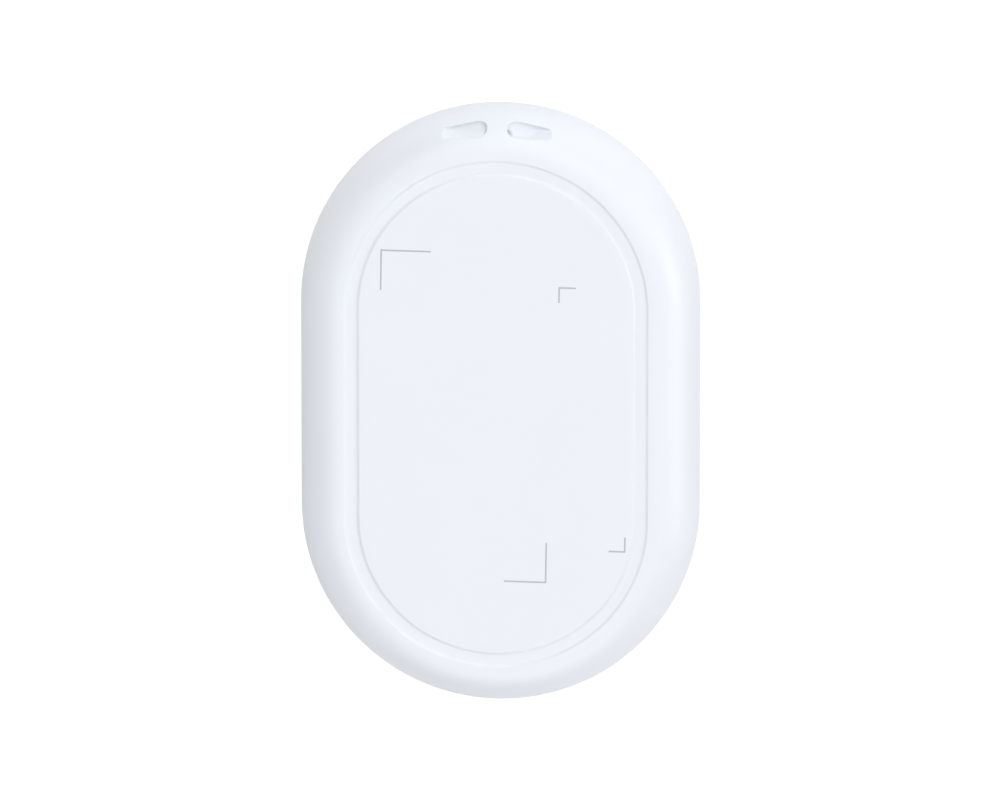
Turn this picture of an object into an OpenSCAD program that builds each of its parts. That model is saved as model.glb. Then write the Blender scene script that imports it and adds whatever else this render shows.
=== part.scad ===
// Bluetooth tracker tag: a pill-shaped sealed case with a press face on the front,
// a strap bridge in the rim, a coin-turn battery door on the rear, a coin cell,
// a circuit board with its parts, a push switch and a piezo sounder.
// Origin: centre of the rear resting plane. +Z is the front, +Y the strap end.

/* [Body] */
// Width of the case
body_w = 31; // [30:0.5:40]
// Length of the case, strap end to lower end
body_l = 47; // [46:0.5:60]
// Thickness of the case
body_t = 9.8; // [9.6:0.1:13]
// Height of the seam between the two shells
split_z = 4.6; // [4.2:0.1:5]
// How far the front rounding reaches inwards from the outline
front_round = 3.4; // [2.5:0.1:3.6]
// How far the rear rounding reaches inwards from the outline
rear_round = 3.0; // [2:0.1:3.4]
// Fullness of the rounding: 2 is an ellipse, more is squarer
round_power = 2.2; // [2:0.1:3]
// Thickness of the shell's side wall
wall = 1.4; // [1.2:0.1:1.7]
// Thickness of the shell's front roof and rear floor
roof_t = 1.5; // [1.3:0.1:1.7]
// Radius of the inner corner of the cavity
cavity_round = 2.6; // [2:0.1:3]

/* [Press face] */
// Distance from the outline to the channel around the press face
rim_w = 3.8; // [3.6:0.1:4.2]
// How much further the press face reaches at each end than an even rim would let it
face_reach = 0.25; // [0:0.05:0.35]
// Width of the channel around the press face
channel_w = 0.85; // [0.6:0.05:1]
// Depth of the channel below the front
channel_depth = 0.12; // [0.1:0.01:0.25]
// Thickness of the ledge that holds the press face in
ledge_t = 0.7; // [0.5:0.05:0.9]
// Thickness of the press face's retaining flange
flange_t = 0.65; // [0.5:0.05:0.8]
// Thickness of the press face's plate
face_t = 1.15; // [0.9:0.05:1.3]
// Running gap around the press face
face_gap = 0.05; // [0.04:0.01:0.08]
// How far the press face travels
face_travel = 0.25; // [0.15:0.05:0.3]
// Bevel on the edges of the press face and the rim
edge_bevel = 0.12; // [0.05:0.01:0.2]
// Height of the soft ring that seals and returns the press face
gasket_h = 0.65; // [0.55:0.05:0.8]
// Width of the soft ring under the press face
gasket_w = 0.7; // [0.5:0.05:0.8]
// Radius of the post that works the switch
post_r = 1.4; // [1:0.1:2]
// Height of the ribs beside the post
rib_h = 0.35; // [0.2:0.05:0.4]

/* [Markings] */
// Width of a printed line
mark_line = 0.12; // [0.08:0.01:0.3]
// Depth of the engraved line that the ink lies in
mark_depth = 0.05; // [0.03:0.01:0.1]
// Turn of the print on the face, in degrees
mark_turn = -1; // [-3:0.5:3]

/* [Strap bridge] */
// Width of the bridge that the strap loops under
bridge_w = 1.5; // [1.2:0.1:2]
// Radius of the strap tunnel under the bridge
tunnel_r = 0.35; // [0.3:0.05:0.45]
// Thickness of the bridge above the tunnel
bridge_t = 0.5; // [0.45:0.05:0.8]
// Radius of a strap pocket beside the bridge
pocket_r = 0.71; // [0.66:0.01:0.8]
// Radius of a strap pocket's tip
pocket_tip_r = 0.44; // [0.3:0.02:0.5]
// Depth of a strap pocket's floor along its axis
pocket_depth = 0.8; // [0.75:0.05:1]
// How far a pocket's axis leans from square to the rim towards upright, in degrees
pocket_lean = 38; // [32:1:42]
// Slope of the ramp from a pocket's tip to its floor, in degrees
pocket_ramp = 24; // [22:1:30]
// Length of a strap pocket
pocket_l = 3.8; // [3:0.1:4.5]
// Place of the strap pockets round the rim's section, 0 at the seam and 90 on the front
pocket_place = 50; // [45:1:58]

/* [Coin cell] */
// Diameter of the coin cell
cell_d = 20; // [16:0.1:20.2]
// Height of the coin cell
cell_h = 3.2; // [2.5:0.1:3.9]
// Thickness of the cell's steel
cell_steel = 0.25; // [0.2:0.05:0.4]
// Thickness of the foam pad under the cell
pad_t = 0.3; // [0.2:0.05:0.5]
// Room for the contact between the cell and the board
contact_gap = 0.5; // [0.4:0.05:0.8]

/* [Battery door] */
// How far the door's face lies above the resting plane
door_sink = 0.1; // [0.05:0.05:0.2]
// Thickness of the door's plate
door_t = 0.9; // [0.8:0.05:1]
// Thickness of the door's skirt
skirt_t = 0.8; // [0.7:0.05:0.9]
// Thickness of the ledge that the lugs turn behind
door_ledge_t = 0.6; // [0.5:0.05:0.7]
// How far the skirt reaches in beyond the plate
skirt_h = 2.2; // [2:0.1:2.4]
// How far a bayonet lug stands out of the skirt
lug_out = 0.65; // [0.5:0.05:0.7]
// Height of a bayonet lug
lug_h = 0.6; // [0.5:0.05:0.7]
// Angle that a bayonet lug spans
lug_angle = 24; // [16:1:28]
// Angle that the door turns from locked to open
door_turn = 30; // [28:1:34]
// Number of bayonet lugs
lugs = 3; // [3:1:3]
// Running gap around the door
door_gap = 0.05; // [0.04:0.01:0.08]
// Radius of the door seal's section
seal_r = 0.24; // [0.2:0.01:0.28]
// Width of the coin slot
slot_w = 1.8; // [1.5:0.1:2.2]
// Length of the coin slot
slot_l = 15; // [12:0.5:18]
// Depth of the coin slot
slot_depth = 0.55; // [0.4:0.05:0.6]
// Radius of the dots that show locked and open
dot_r = 0.35; // [0.2:0.05:0.5]
// Depth of the dots
dot_depth = 0.2; // [0.1:0.05:0.3]

/* [Circuit board] */
// Thickness of the circuit board
board_t = 0.8; // [0.6:0.1:1]
// Gap between the board and the case wall
board_gap = 0.4; // [0.3:0.05:0.5]
// Radius of a board screw's shank
screw_r = 0.58; // [0.5:0.02:0.7]
// Radius of a board screw's head
screw_head_r = 1.15; // [1:0.05:1.3]
// Height of a board screw's head
screw_head_h = 0.75; // [0.6:0.05:0.9]
// Length of a board screw's shank in its boss
screw_bite = 1.6; // [1.2:0.1:1.9]
// Radius of a screw boss
boss_r = 1.25; // [1.1:0.05:1.4]
// Distance from the case wall to a screw's axis
screw_inset = 1.6; // [1.5:0.05:1.8]
// Place of the screws around each end, in degrees from the width axis
screw_place = 35; // [28:1:42]

/* [Switch] */
// Width of the push switch
switch_w = 4.5; // [4:0.1:5.2]
// Height of the push switch's body
switch_h = 1.4; // [1.2:0.1:1.5]
// Radius of the switch's plunger
plunger_r = 1; // [0.8:0.1:1.2]
// How far the plunger stands out of the switch
plunger_out = 0.45; // [0.4:0.05:0.6]
// Gap between the plunger and the post
plunger_gap = 0.03; // [0.02:0.01:0.05]

/* [Sounder] */
// Diameter of the piezo sounder's brass plate
piezo_d = 12; // [10:0.5:12.5]
// Thickness of the piezo sounder's brass plate
piezo_t = 0.2; // [0.15:0.05:0.3]
// Height of the sounder's seat above the board
piezo_seat_h = 1.0; // [0.9:0.05:1.1]
// Place of the sounder along the board
piezo_y = 11.2; // [10.8:0.1:11.6]

/* [Hidden] */
$fn = 64;

// Steps along one quarter of a rounded edge
edge_steps = 16;
// Clearance that lets a cut run out past a face
past = 0.5;
// Length by which two shapes of one piece reach into each other
join = 0.3;
// Assembly gap between fixed pieces
fit = 0.02;

// Outline: two half discs of outline_r, straight_l apart
outline_r = body_w / 2;
straight_l = body_l - body_w;
end_y = straight_l / 2;
cavity_r = outline_r - wall;

// Front stack, from the front down
channel_r = outline_r - rim_w;
face_r = channel_r - channel_w;
ledge_z1 = body_t - channel_depth;
ledge_z0 = ledge_z1 - ledge_t;
flange_z1 = ledge_z0 - face_gap;
flange_z0 = flange_z1 - flange_t;
flange_r = channel_r - 0.1;
flange_lap = 0.8;
face_z0 = body_t - face_t;
flange_in_r = face_r - flange_lap;
flange_pocket_r = flange_r + 0.1;

// Rear stack, from the resting plane up
door_z1 = door_sink + door_t;
cell_z0 = door_z1 + pad_t;
cell_z1 = cell_z0 + cell_h;
board_z0 = cell_z1 + contact_gap;
board_z1 = board_z0 + board_t;
cell_r = cell_d / 2;
cell_gap = 0.25;
skirt_in_r = cell_r + cell_gap;
skirt_r = skirt_in_r + skirt_t;
bore_r = skirt_r + door_gap;
lug_r = skirt_r + lug_out;
lug_track_r = lug_r + 2 * door_gap;
door_r = lug_track_r + 2 * door_gap;
lug_z0 = door_z1 + door_ledge_t + door_gap;
lug_z1 = lug_z0 + lug_h;
skirt_z1 = door_z1 + skirt_h;
seal_z = (lug_z1 + skirt_z1) / 2 + fit;
seal_ring_r = bore_r - seal_r - fit;
seal_groove_h = 2 * seal_r + 3 * fit;
bay_wall = 0.9;
tub_r = bore_r + bay_wall;
lug_ring_r = lug_track_r + bay_wall;
lug_ring_z1 = lug_z1 + bay_wall;
dot_ring_r = door_r - 3 * dot_r;
shell_dot_ring_r = door_r + 3 * dot_r;
// Angle by which a lug's way in is wider than the lug on each side
lug_spare = 1.5;

// Seam between the shells: a tongue on the lower shell in a rebate of the upper
tongue_t = 0.5;
tongue_h = 0.8;
tongue_r = cavity_r + tongue_t;
tongue_z1 = split_z + tongue_h;
case_seal_h = 0.27;
rebate_z1 = tongue_z1 + case_seal_h + 3 * fit;

// Board and screws
board_r = cavity_r - board_gap;
screw_ring_r = cavity_r - screw_inset;
frame_r = screw_ring_r - boss_r - 2 * fit;
frame_w = 1;
frame_in_r = frame_r - frame_w;
frame_z1 = flange_z0 - gasket_h;
gasket_r = frame_r - (frame_w - gasket_w) / 2;
gasket_in_r = gasket_r - gasket_w;

// Switch and sounder
switch_z1 = board_z1 + switch_h;
switch_cover_t = 0.15;
plunger_z1 = switch_z1 + switch_cover_t + plunger_out;
piezo_r = piezo_d / 2;
adhesive_t = 0.05;
piezo_z0 = board_z1 + piezo_seat_h + adhesive_t;
piezo_ceramic_t = 0.15;
piezo_ceramic_r = piezo_r - 1.6;

// Printed corner marks: [centre x, centre y, width, length, upper arms, lower arms]
mark_frames = [
    [-2.51, -0.16, 13.3, 26, [3.9, 3.2], [3.3, 3.2]],
    [7.44, -0.28, 5.58, 20.84, [1.35, 1.25], [1.3, 1.2]]
];

white = [0.93, 0.95, 0.97];
print_grey = [0.72, 0.73, 0.75];
seal_grey = [0.32, 0.33, 0.35];
steel = [0.78, 0.79, 0.8];
gold = [0.83, 0.69, 0.36];
board_green = [0.08, 0.3, 0.2];
black = [0.08, 0.08, 0.09];
brass = [0.8, 0.65, 0.35];
ceramic_white = [0.86, 0.84, 0.78];

// ---------------------------------------------------------------- outlines

// Sweeps a profile of [distance from the end's centre, height] round the pill outline.
// The outline's two ends are moved out by reach.
module pill_sweep(reach = 0) {
    for (turn = [0, 180]) {
        rotate([0, 0, turn]) translate([0, end_y + reach, 0])
            rotate_extrude(angle = 180) children();
        rotate([0, 0, turn]) rotate([90, 0, 0])
            linear_extrude(straight_l + 2 * reach, center = true) children();
    }
}

// A flat pill-shaped plate
module pill_plate(r, z0, z1) {
    pill_sweep() polygon([[0, z0], [r, z0], [r, z1], [0, z1]]);
}

// A pill-shaped band with a rectangular section
module pill_band(r_in, r_out, z0, z1) {
    pill_sweep() polygon([[r_in, z0], [r_out, z0], [r_out, z1], [r_in, z1]]);
}

// Points of a rounded edge from the seam to the front (rise > 0) or the rear (rise < 0)
function rounded_edge(r_flat, reach, z, rise, power) = [
    for (i = [0 : edge_steps])
        let (t = 90 * i / edge_steps)
        [r_flat + reach * pow(cos(t), 2 / power), z + rise * pow(sin(t), 2 / power)]
];

front_edge = rounded_edge(outline_r - front_round, front_round, split_z, body_t - split_z, round_power);
rear_edge = rounded_edge(outline_r - rear_round, rear_round, split_z, -split_z, round_power);
cavity_flat_r = cavity_r - cavity_round;
front_cavity_edge = rounded_edge(cavity_flat_r, cavity_round, split_z, body_t - roof_t - split_z, 2);
rear_cavity_edge = rounded_edge(cavity_flat_r, cavity_round, split_z, roof_t - split_z, 2);

module tube(r_in, r_out, z0, z1) {
    translate([0, 0, z0]) difference() {
        cylinder(h = z1 - z0, r = r_out);
        translate([0, 0, -past]) cylinder(h = z1 - z0 + 2 * past, r = r_in);
    }
}

module disc(r, z0, z1) {
    translate([0, 0, z0]) cylinder(h = z1 - z0, r = r);
}

// A box centred on [x, y] that stands on z0
module block(x, y, z0, size) {
    translate([x, y, z0 + size[2] / 2]) cube(size, center = true);
}

// ---------------------------------------------------------------- strap bridge

// Where the strap pockets meet the rim's surface, and how steeply the surface faces there
pocket_out = outline_r - front_round + front_round * pow(cos(pocket_place), 2 / round_power);
pocket_z = split_z + (body_t - split_z) * pow(sin(pocket_place), 2 / round_power);
pocket_slope = atan2(
    pow(cos(pocket_place), 2 - 2 / round_power) / front_round,
    pow(sin(pocket_place), 2 - 2 / round_power) / (body_t - split_z)
);
pocket_mid_angle = asin((bridge_w + pocket_l) / 2 / pocket_out);
tunnel_depth = bridge_t + tunnel_r;
// Plastic left beside the strap pockets, and under their deepest corner
strap_wall = 0.8;
strap_floor = 0.45;

// A slot that is deep beside the bridge, with a ramp that runs out to the surface at its tip
module strap_pocket(side) {
    translate([0, end_y, 0]) rotate([0, 0, -side * pocket_mid_angle])
        translate([0, pocket_out, pocket_z]) rotate([-pocket_slope, 0, 0]) mirror([side < 0 ? 1 : 0, 0, 0])
            difference() {
                rotate([pocket_lean, 0, 0]) hull() {
                    translate([pocket_r - pocket_l / 2, 0, -pocket_depth])
                        cylinder(h = pocket_depth + 2 * past, r = pocket_r, $fn = 32);
                    translate([pocket_l / 2 - pocket_tip_r, 0, -pocket_depth])
                        cylinder(h = pocket_depth + 2 * past, r = pocket_tip_r, $fn = 32);
                }
                translate([pocket_l / 2, 0, 0]) rotate([0, -pocket_ramp, 0])
                    block(-pocket_l, 0, -2 * pocket_l, [4 * pocket_l, 2 * pocket_l, 2 * pocket_l]);
            }
}

// The straight round tunnel that joins the two pockets under the bridge
module strap_tunnel() {
    translate([0, end_y + pocket_out, pocket_z]) rotate([-pocket_slope, 0, 0]) translate([0, 0, -tunnel_depth])
        rotate([0, 90, 0]) cylinder(h = bridge_w + pocket_r, r = tunnel_r, center = true);
}

// ---------------------------------------------------------------- case

module at_screws() {
    for (end = [0, 180], side = [-1, 1]) {
        rotate([0, 0, end]) translate([0, end_y, 0])
            translate([side * screw_ring_r * cos(screw_place), screw_ring_r * sin(screw_place), 0]) children();
    }
}

// The thick place inside the rim that the strap pockets are cut into
module strap_boss(grow) {
    boss_w = bridge_w + 2 * pocket_l + 2 * strap_wall + 2 * grow;
    boss_y = end_y + face_reach + flange_pocket_r - grow;
    pocket_tilt = pocket_slope - pocket_lean;
    pocket_low = pocket_depth * cos(pocket_tilt) + pocket_r * sin(pocket_tilt);
    tunnel_low = tunnel_depth * cos(pocket_slope) + tunnel_r;
    pocket_low_z = pocket_z - max(pocket_low, tunnel_low);
    block(0, boss_y + outline_r / 2, pocket_low_z - strap_floor - grow, [boss_w, outline_r, body_t]);
}

module upper_cavity() {
    difference() {
        pill_sweep() polygon(concat([[0, split_z - past], [cavity_r, split_z - past]], front_cavity_edge,
            [[0, body_t - roof_t]]));
        at_screws() disc(boss_r, board_z1, body_t);
        strap_boss(0);
    }
}

// The opening, the retaining ledge and the shallow channel around the press face
module face_opening() {
    pill_sweep(face_reach) polygon([
        [0, body_t - roof_t - past], [flange_pocket_r, body_t - roof_t - past], [flange_pocket_r, ledge_z0],
        [face_r + face_gap, ledge_z0], [face_r + face_gap, ledge_z1], [channel_r - edge_bevel, ledge_z1],
        [channel_r, body_t], [channel_r, body_t + past], [0, body_t + past]
    ]);
}

module upper_shell() {
    color(white) difference() {
        pill_sweep() polygon(concat([[0, split_z]], front_edge, [[0, body_t]]));
        upper_cavity();
        face_opening();
        pill_sweep() polygon([[cavity_r - past, split_z - past], [tongue_r + fit, split_z - past],
            [tongue_r + fit, rebate_z1], [cavity_r - past, rebate_z1]]);
        at_screws() disc(screw_r + fit, board_z1 - past, board_z1 + screw_bite + screw_r / 2);
        for (side = [-1, 1]) strap_pocket(side);
        strap_tunnel();
    }
}

module lower_cavity() {
    pill_sweep() polygon(concat([[0, split_z + past], [cavity_r, split_z + past]], rear_cavity_edge,
        [[0, roof_t]]));
}

module lower_shell() {
    color(white) difference() {
        union() {
            difference() {
                pill_sweep() polygon(concat([[0, split_z]], rear_edge, [[0, 0]]));
                lower_cavity();
            }
            pill_band(cavity_r, tongue_r, split_z - join, tongue_z1);
            disc(lug_ring_r, roof_t - join, lug_ring_z1);
            disc(tub_r, roof_t - join, board_z0 - 2 * fit);
        }
        door_bore();
    }
}

// The stepped bore of the battery door, with one bayonet track for each lug
module door_bore() {
    disc(door_r + door_gap, -past, door_z1 + fit);
    disc(bore_r, -past, board_z0);
    for (i = [0 : lugs - 1]) bayonet_track(i * 360 / lugs);
    for (turn = [0, door_turn]) rotate([0, 0, 90 - turn]) translate([shell_dot_ring_r, 0, 0])
        disc(dot_r, -past, dot_depth);
}

// One lug's way in through the ledge, and its track from open to locked
module bayonet_track(angle) {
    half = lug_angle / 2 + lug_spare;
    rotate([0, 0, angle - door_turn - half]) {
        rotate_extrude(angle = 2 * half + door_turn) translate([bore_r - join, lug_z0 - door_gap])
            square([lug_track_r - bore_r + join, lug_h + 2 * door_gap]);
        rotate_extrude(angle = 2 * half) translate([bore_r - join, door_z1 - join])
            square([lug_track_r - bore_r + join, lug_z0 - door_z1 + 2 * join]);
    }
}

module case_seal() {
    seal_z0 = tongue_z1 + fit;
    color(seal_grey) pill_band(cavity_r + fit, tongue_r - fit, seal_z0, seal_z0 + case_seal_h);
}

// ---------------------------------------------------------------- press face

// One pair of L-shaped corner lines on opposite corners of a frame
module corner_pair(frame, depth, height) {
    w = frame[2];
    l = frame[3];
    translate([frame[0], frame[1], 0]) rotate([0, 0, mark_turn]) for (corner = [0, 1]) {
        arms = frame[4 + corner];
        rotate([0, 0, 180 * corner]) translate([-w / 2, l / 2, body_t - depth]) linear_extrude(height)
            polygon([[0, 0], [arms[0], 0], [arms[0], -mark_line], [mark_line, -mark_line],
                [mark_line, -arms[1]], [0, -arms[1]]]);
    }
}

module press_face() {
    color(white) {
        difference() {
            pill_sweep(face_reach) polygon([
                [0, face_z0], [flange_in_r, face_z0], [flange_in_r, flange_z0], [flange_r, flange_z0],
                [flange_r, flange_z1], [face_r, flange_z1], [face_r, body_t - edge_bevel],
                [face_r - edge_bevel, body_t], [0, body_t]
            ]);
            for (frame = mark_frames) corner_pair(frame, mark_depth, mark_depth + past);
        }
        disc(post_r, plunger_z1 + plunger_gap, face_z0);
        for (turn = [0, 90]) rotate([0, 0, turn])
            block(0, 0, face_z0 - rib_h, [4 * post_r, post_r / 2, rib_h]);
    }
}

module corner_marks() {
    color(print_grey) for (frame = mark_frames) corner_pair(frame, mark_depth, mark_depth - 0.01);
}

module face_gasket() {
    color(seal_grey) pill_band(gasket_in_r, gasket_r, frame_z1, flange_z0);
}

// ---------------------------------------------------------------- battery door

module battery_door() {
    color(white) difference() {
        union() {
            disc(door_r, door_sink, door_z1);
            tube(skirt_in_r, skirt_r, door_z1 - join, skirt_z1);
            for (i = [0 : lugs - 1]) {
                rotate([0, 0, i * 360 / lugs - lug_angle / 2]) rotate_extrude(angle = lug_angle)
                    translate([skirt_r - join, lug_z0]) square([lug_out + join, lug_h]);
            }
        }
        block(0, 0, -past, [slot_l, slot_w, past + door_sink + slot_depth]);
        translate([0, 0, seal_z]) tube(seal_ring_r - seal_r - fit, skirt_r + past,
            -seal_groove_h / 2, seal_groove_h / 2);
        translate([0, dot_ring_r, 0]) disc(dot_r, -past, door_sink + dot_depth);
    }
}

module door_seal() {
    color(seal_grey) translate([0, 0, seal_z]) rotate_extrude() translate([seal_ring_r, 0]) circle(seal_r);
}

pad_r = 7.5;

module battery_pad() {
    color(seal_grey) disc(pad_r, door_z1, cell_z0 - fit);
}

// ---------------------------------------------------------------- coin cell

cell_floor_t = 0.8;
cell_cap_r = cell_r - 1.35;
cell_seal_t = 0.3;

module coin_cell_can() {
    color(steel) difference() {
        disc(cell_r, cell_z0, cell_z1 - 0.15);
        disc(cell_r - cell_steel, cell_z0 + cell_floor_t, cell_z1 - 0.15 - cell_steel);
        disc(cell_cap_r + cell_seal_t, cell_z0 + cell_floor_t, cell_z1 + past);
    }
}

module coin_cell_gasket() {
    color(black) tube(cell_cap_r + fit, cell_cap_r + cell_seal_t - fit,
        cell_z0 + cell_floor_t + fit, cell_z1 - 0.1);
}

module coin_cell_cap() {
    color(steel) difference() {
        disc(cell_cap_r, cell_z0 + cell_floor_t + 0.2, cell_z1);
        disc(cell_cap_r - cell_steel, cell_z0 + cell_floor_t - past, cell_z1 - cell_steel);
    }
}

// ---------------------------------------------------------------- contacts

leaf_t = 0.12;

// A strip of spring metal through [distance, height] points, across the given width
module leaf(points, width) {
    n = len(points);
    rotate([90, 0, 0]) linear_extrude(width, center = true)
        polygon(concat(points, [for (i = [n - 1 : -1 : 0]) points[i] + [0, leaf_t]]));
}

// A foot under the board and a sprung leg that leans on the side of the cell
module positive_contact() {
    contact_r = cell_r + fit;
    tip_z = skirt_z1 + 0.25;
    touch_z = (tip_z + cell_z1) / 2;
    foot_z = board_z0 - leaf_t;
    color(gold) rotate([0, 0, -90]) rotate([90, 0, 0]) linear_extrude(4, center = true) polygon([
        [contact_r - 2.2, foot_z], [contact_r - 2.2, board_z0], [contact_r + 0.6, board_z0],
        [contact_r + leaf_t, touch_z], [contact_r + 0.5, tip_z + 0.05], [contact_r + 0.4, tip_z],
        [contact_r, touch_z], [contact_r + 0.45, foot_z]
    ]);
}

// Two crossed leaves that press on the cell's cap with their four tips
module negative_contact() {
    base_z = board_z0 - leaf_t;
    touch_z = cell_z1 + fit;
    color(gold) for (turn = [45, 135]) rotate([0, 0, turn]) leaf([
        [-6, touch_z + leaf_t], [-5, touch_z], [-2.2, base_z],
        [2.2, base_z], [5, touch_z], [6, touch_z + leaf_t]
    ], 1.6);
}

// ---------------------------------------------------------------- board

module circuit_board() {
    color(board_green) difference() {
        pill_plate(board_r, board_z0, board_z1);
        at_screws() disc(screw_r + 0.15, board_z0 - past, board_z1 + past);
        strap_boss(board_gap);
    }
}

module board_screws() {
    color(steel) at_screws() difference() {
        union() {
            disc(screw_head_r, board_z0 - screw_head_h, board_z0);
            disc(screw_r, board_z0 - join, board_z1 + screw_bite);
        }
        for (turn = [0, 90]) rotate([0, 0, turn]) block(0, 0, board_z0 - screw_head_h - past,
            [screw_head_r, screw_r / 2, past + screw_head_h / 2]);
    }
}

// The frame stands on the board, carries the gasket and seats the sounder
module inner_frame() {
    base_z = board_z1 + fit;
    seat_r = piezo_r + 0.9;
    seat_hole_r = piezo_r - 0.9;
    arm_w = 1.2;
    arm_y = piezo_y - 2;
    arm_l = frame_in_r + frame_w / 2 - seat_hole_r;
    tie_l = end_y + frame_in_r + frame_w / 2 - piezo_y - seat_hole_r;
    color(black) difference() {
        union() {
            pill_band(frame_in_r, frame_r, base_z, frame_z1);
            translate([0, piezo_y, 0]) disc(seat_r, base_z, piezo_z0 + piezo_t + 0.2);
            for (side = [-1, 1]) block(side * (seat_hole_r + arm_l / 2), arm_y, base_z,
                [arm_l, arm_w, piezo_seat_h]);
            block(0, piezo_y + seat_hole_r + tie_l / 2, base_z, [arm_w, tie_l, piezo_seat_h]);
        }
        translate([0, piezo_y, 0]) disc(seat_hole_r, base_z - past, frame_z1 + past);
        translate([0, piezo_y, 0]) disc(piezo_r + 0.1, piezo_z0 - adhesive_t, frame_z1 + past);
    }
}

module test_pads() {
    pad_y = -end_y - board_r + 5.8;
    color(gold) for (i = [-2 : 2]) translate([i * 2.2, pad_y, 0]) disc(0.7, board_z0 - 0.04, board_z0);
}

// A chip package with rows of contacts under its four edges
module radio_chip() {
    chip_x = -5.2;
    chip_y = -7.6;
    size = 5;
    color(black) block(chip_x, chip_y, board_z1 + 0.05, [size, size, 0.8]);
    color(steel) for (turn = [0 : 90 : 270], i = [-3 : 3])
        translate([chip_x, chip_y, 0]) rotate([0, 0, turn])
            block(i * 0.6, size / 2 - 0.15, board_z1, [0.3, 0.5, 0.05]);
}

module crystals() {
    for (place = [[0.2, -6.2, 2.5, 2], [0.2, -9.6, 2, 1.2]]) {
        color(ceramic_white) block(place[0], place[1], board_z1, [place[2], place[3], 0.35]);
        color(steel) block(place[0], place[1], board_z1 + 0.35, [place[2] - 0.3, place[3] - 0.3, 0.25]);
    }
}

module chip_antenna() {
    antenna_y = -end_y - frame_in_r + 1.7;
    color(ceramic_white) block(0, antenna_y, board_z1, [5.2, 2, 0.9]);
    for (side = [-1, 1]) color(steel) block(side * 2.75, antenna_y, board_z1, [0.3, 2, 0.9]);
}

module power_inductor() {
    color([0.3, 0.3, 0.32]) block(5.6, -6.8, board_z1, [3, 3, 1.1]);
    color(steel) for (side = [-1, 1]) block(5.6 + side * 1.6, -6.8, board_z1, [0.2, 2.4, 0.5]);
}

module motion_sensor() {
    color(black) block(6.6, 1.2, board_z1, [2, 2, 0.9]);
}

module sounder_driver() {
    color(black) block(-6.8, 0.6, board_z1 + 0.1, [2.9, 1.5, 0.9]);
    color(steel) for (x = [-1, 0, 1], side = [-1, 1])
        block(-6.8 + x * 0.95, 0.6 + side * 0.95, board_z1, [0.4, 0.4, 0.3]);
}

// Ceramic capacitors and resistors, each with a tinned cap on both ends
module chip_capacitors() {
    spots = [
        [-5.2, -11.6, 0], [-3.2, -11.6, 0], [2.6, -9.6, 90], [4.2, -9.6, 90], [6.2, -9.8, 90],
        [-8.6, -6.4, 90], [-8.6, -8.4, 90], [2.6, -12.4, 0], [-1.2, -13, 90], [1, -13, 90],
        [-6.6, -3.4, 0], [-4.4, -3.4, 0], [4.6, -3.4, 0], [6.8, -3.4, 0], [6.6, 3.6, 90], [-8.4, 3.2, 90]
    ];
    for (spot = spots) translate([spot[0], spot[1], 0]) rotate([0, 0, spot[2]]) {
        color([0.6, 0.48, 0.36]) block(0, 0, board_z1, [0.6, 0.5, 0.5]);
        for (side = [-1, 1]) color(steel) block(side * 0.4, 0, board_z1, [0.2, 0.5, 0.5]);
    }
}

// ---------------------------------------------------------------- switch

switch_floor_t = 0.4;
dome_r = switch_w / 2 - 0.8;

module switch_base() {
    color(black) difference() {
        block(0, 0, board_z1 + 0.02, [switch_w, switch_w, switch_h - 0.02]);
        disc(dome_r + 0.15, board_z1 + switch_floor_t, switch_z1 + past);
    }
}

module switch_terminals() {
    color(gold) for (x = [-1, 1], y = [-1, 1])
        block(x * (switch_w / 2 + 0.35), y * (switch_w / 2 - 0.7), board_z1, [0.7, 0.8, 0.2]);
}

module switch_cover() {
    color(steel) difference() {
        block(0, 0, switch_z1, [switch_w, switch_w, switch_cover_t]);
        disc(plunger_r + 0.06, switch_z1 - past, switch_z1 + past);
    }
}

// A snap dome: a shallow spherical cap of spring steel
module switch_dome() {
    rise = 0.35;
    sheet = 0.06;
    ball_r = (dome_r * dome_r + rise * rise) / 2 / rise;
    base_z = board_z1 + switch_floor_t + fit;
    color(steel) intersection() {
        translate([0, 0, base_z + rise - ball_r]) difference() {
            sphere(ball_r);
            sphere(ball_r - sheet);
        }
        disc(dome_r, base_z, base_z + rise);
    }
}

module switch_plunger() {
    collar_z = switch_z1 - fit;
    dome_top_z = board_z1 + switch_floor_t + fit + 0.35;
    color(black) {
        disc(plunger_r, collar_z - 0.1, plunger_z1);
        disc(plunger_r + 0.3, dome_top_z + fit, collar_z);
    }
}

// ---------------------------------------------------------------- sounder

module piezo_plate() {
    color(brass) translate([0, piezo_y, 0]) disc(piezo_r, piezo_z0, piezo_z0 + piezo_t);
}

module piezo_ceramic() {
    color(ceramic_white) translate([0, piezo_y, 0])
        disc(piezo_ceramic_r, piezo_z0 + piezo_t, piezo_z0 + piezo_t + piezo_ceramic_t);
}

module piezo_adhesive() {
    color([0.85, 0.8, 0.6]) translate([0, piezo_y, 0])
        tube(piezo_r - 0.85, piezo_r, piezo_z0 - adhesive_t, piezo_z0);
}

// Two folded springs that bring the board's drive to the sounder's plate
module piezo_contacts() {
    touch_z = piezo_z0 - leaf_t - fit;
    color(gold) for (side = [-1, 1]) translate([side * 2.2, piezo_y, 0]) rotate([0, 0, 90]) {
        leaf([[-2, board_z1], [1, board_z1]], 1.2);
        leaf([[-2, touch_z - 0.1], [-1.4, touch_z], [0.6, board_z1 + 0.4], [1, board_z1]], 1.2);
    }
}

// ---------------------------------------------------------------- nodes

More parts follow.
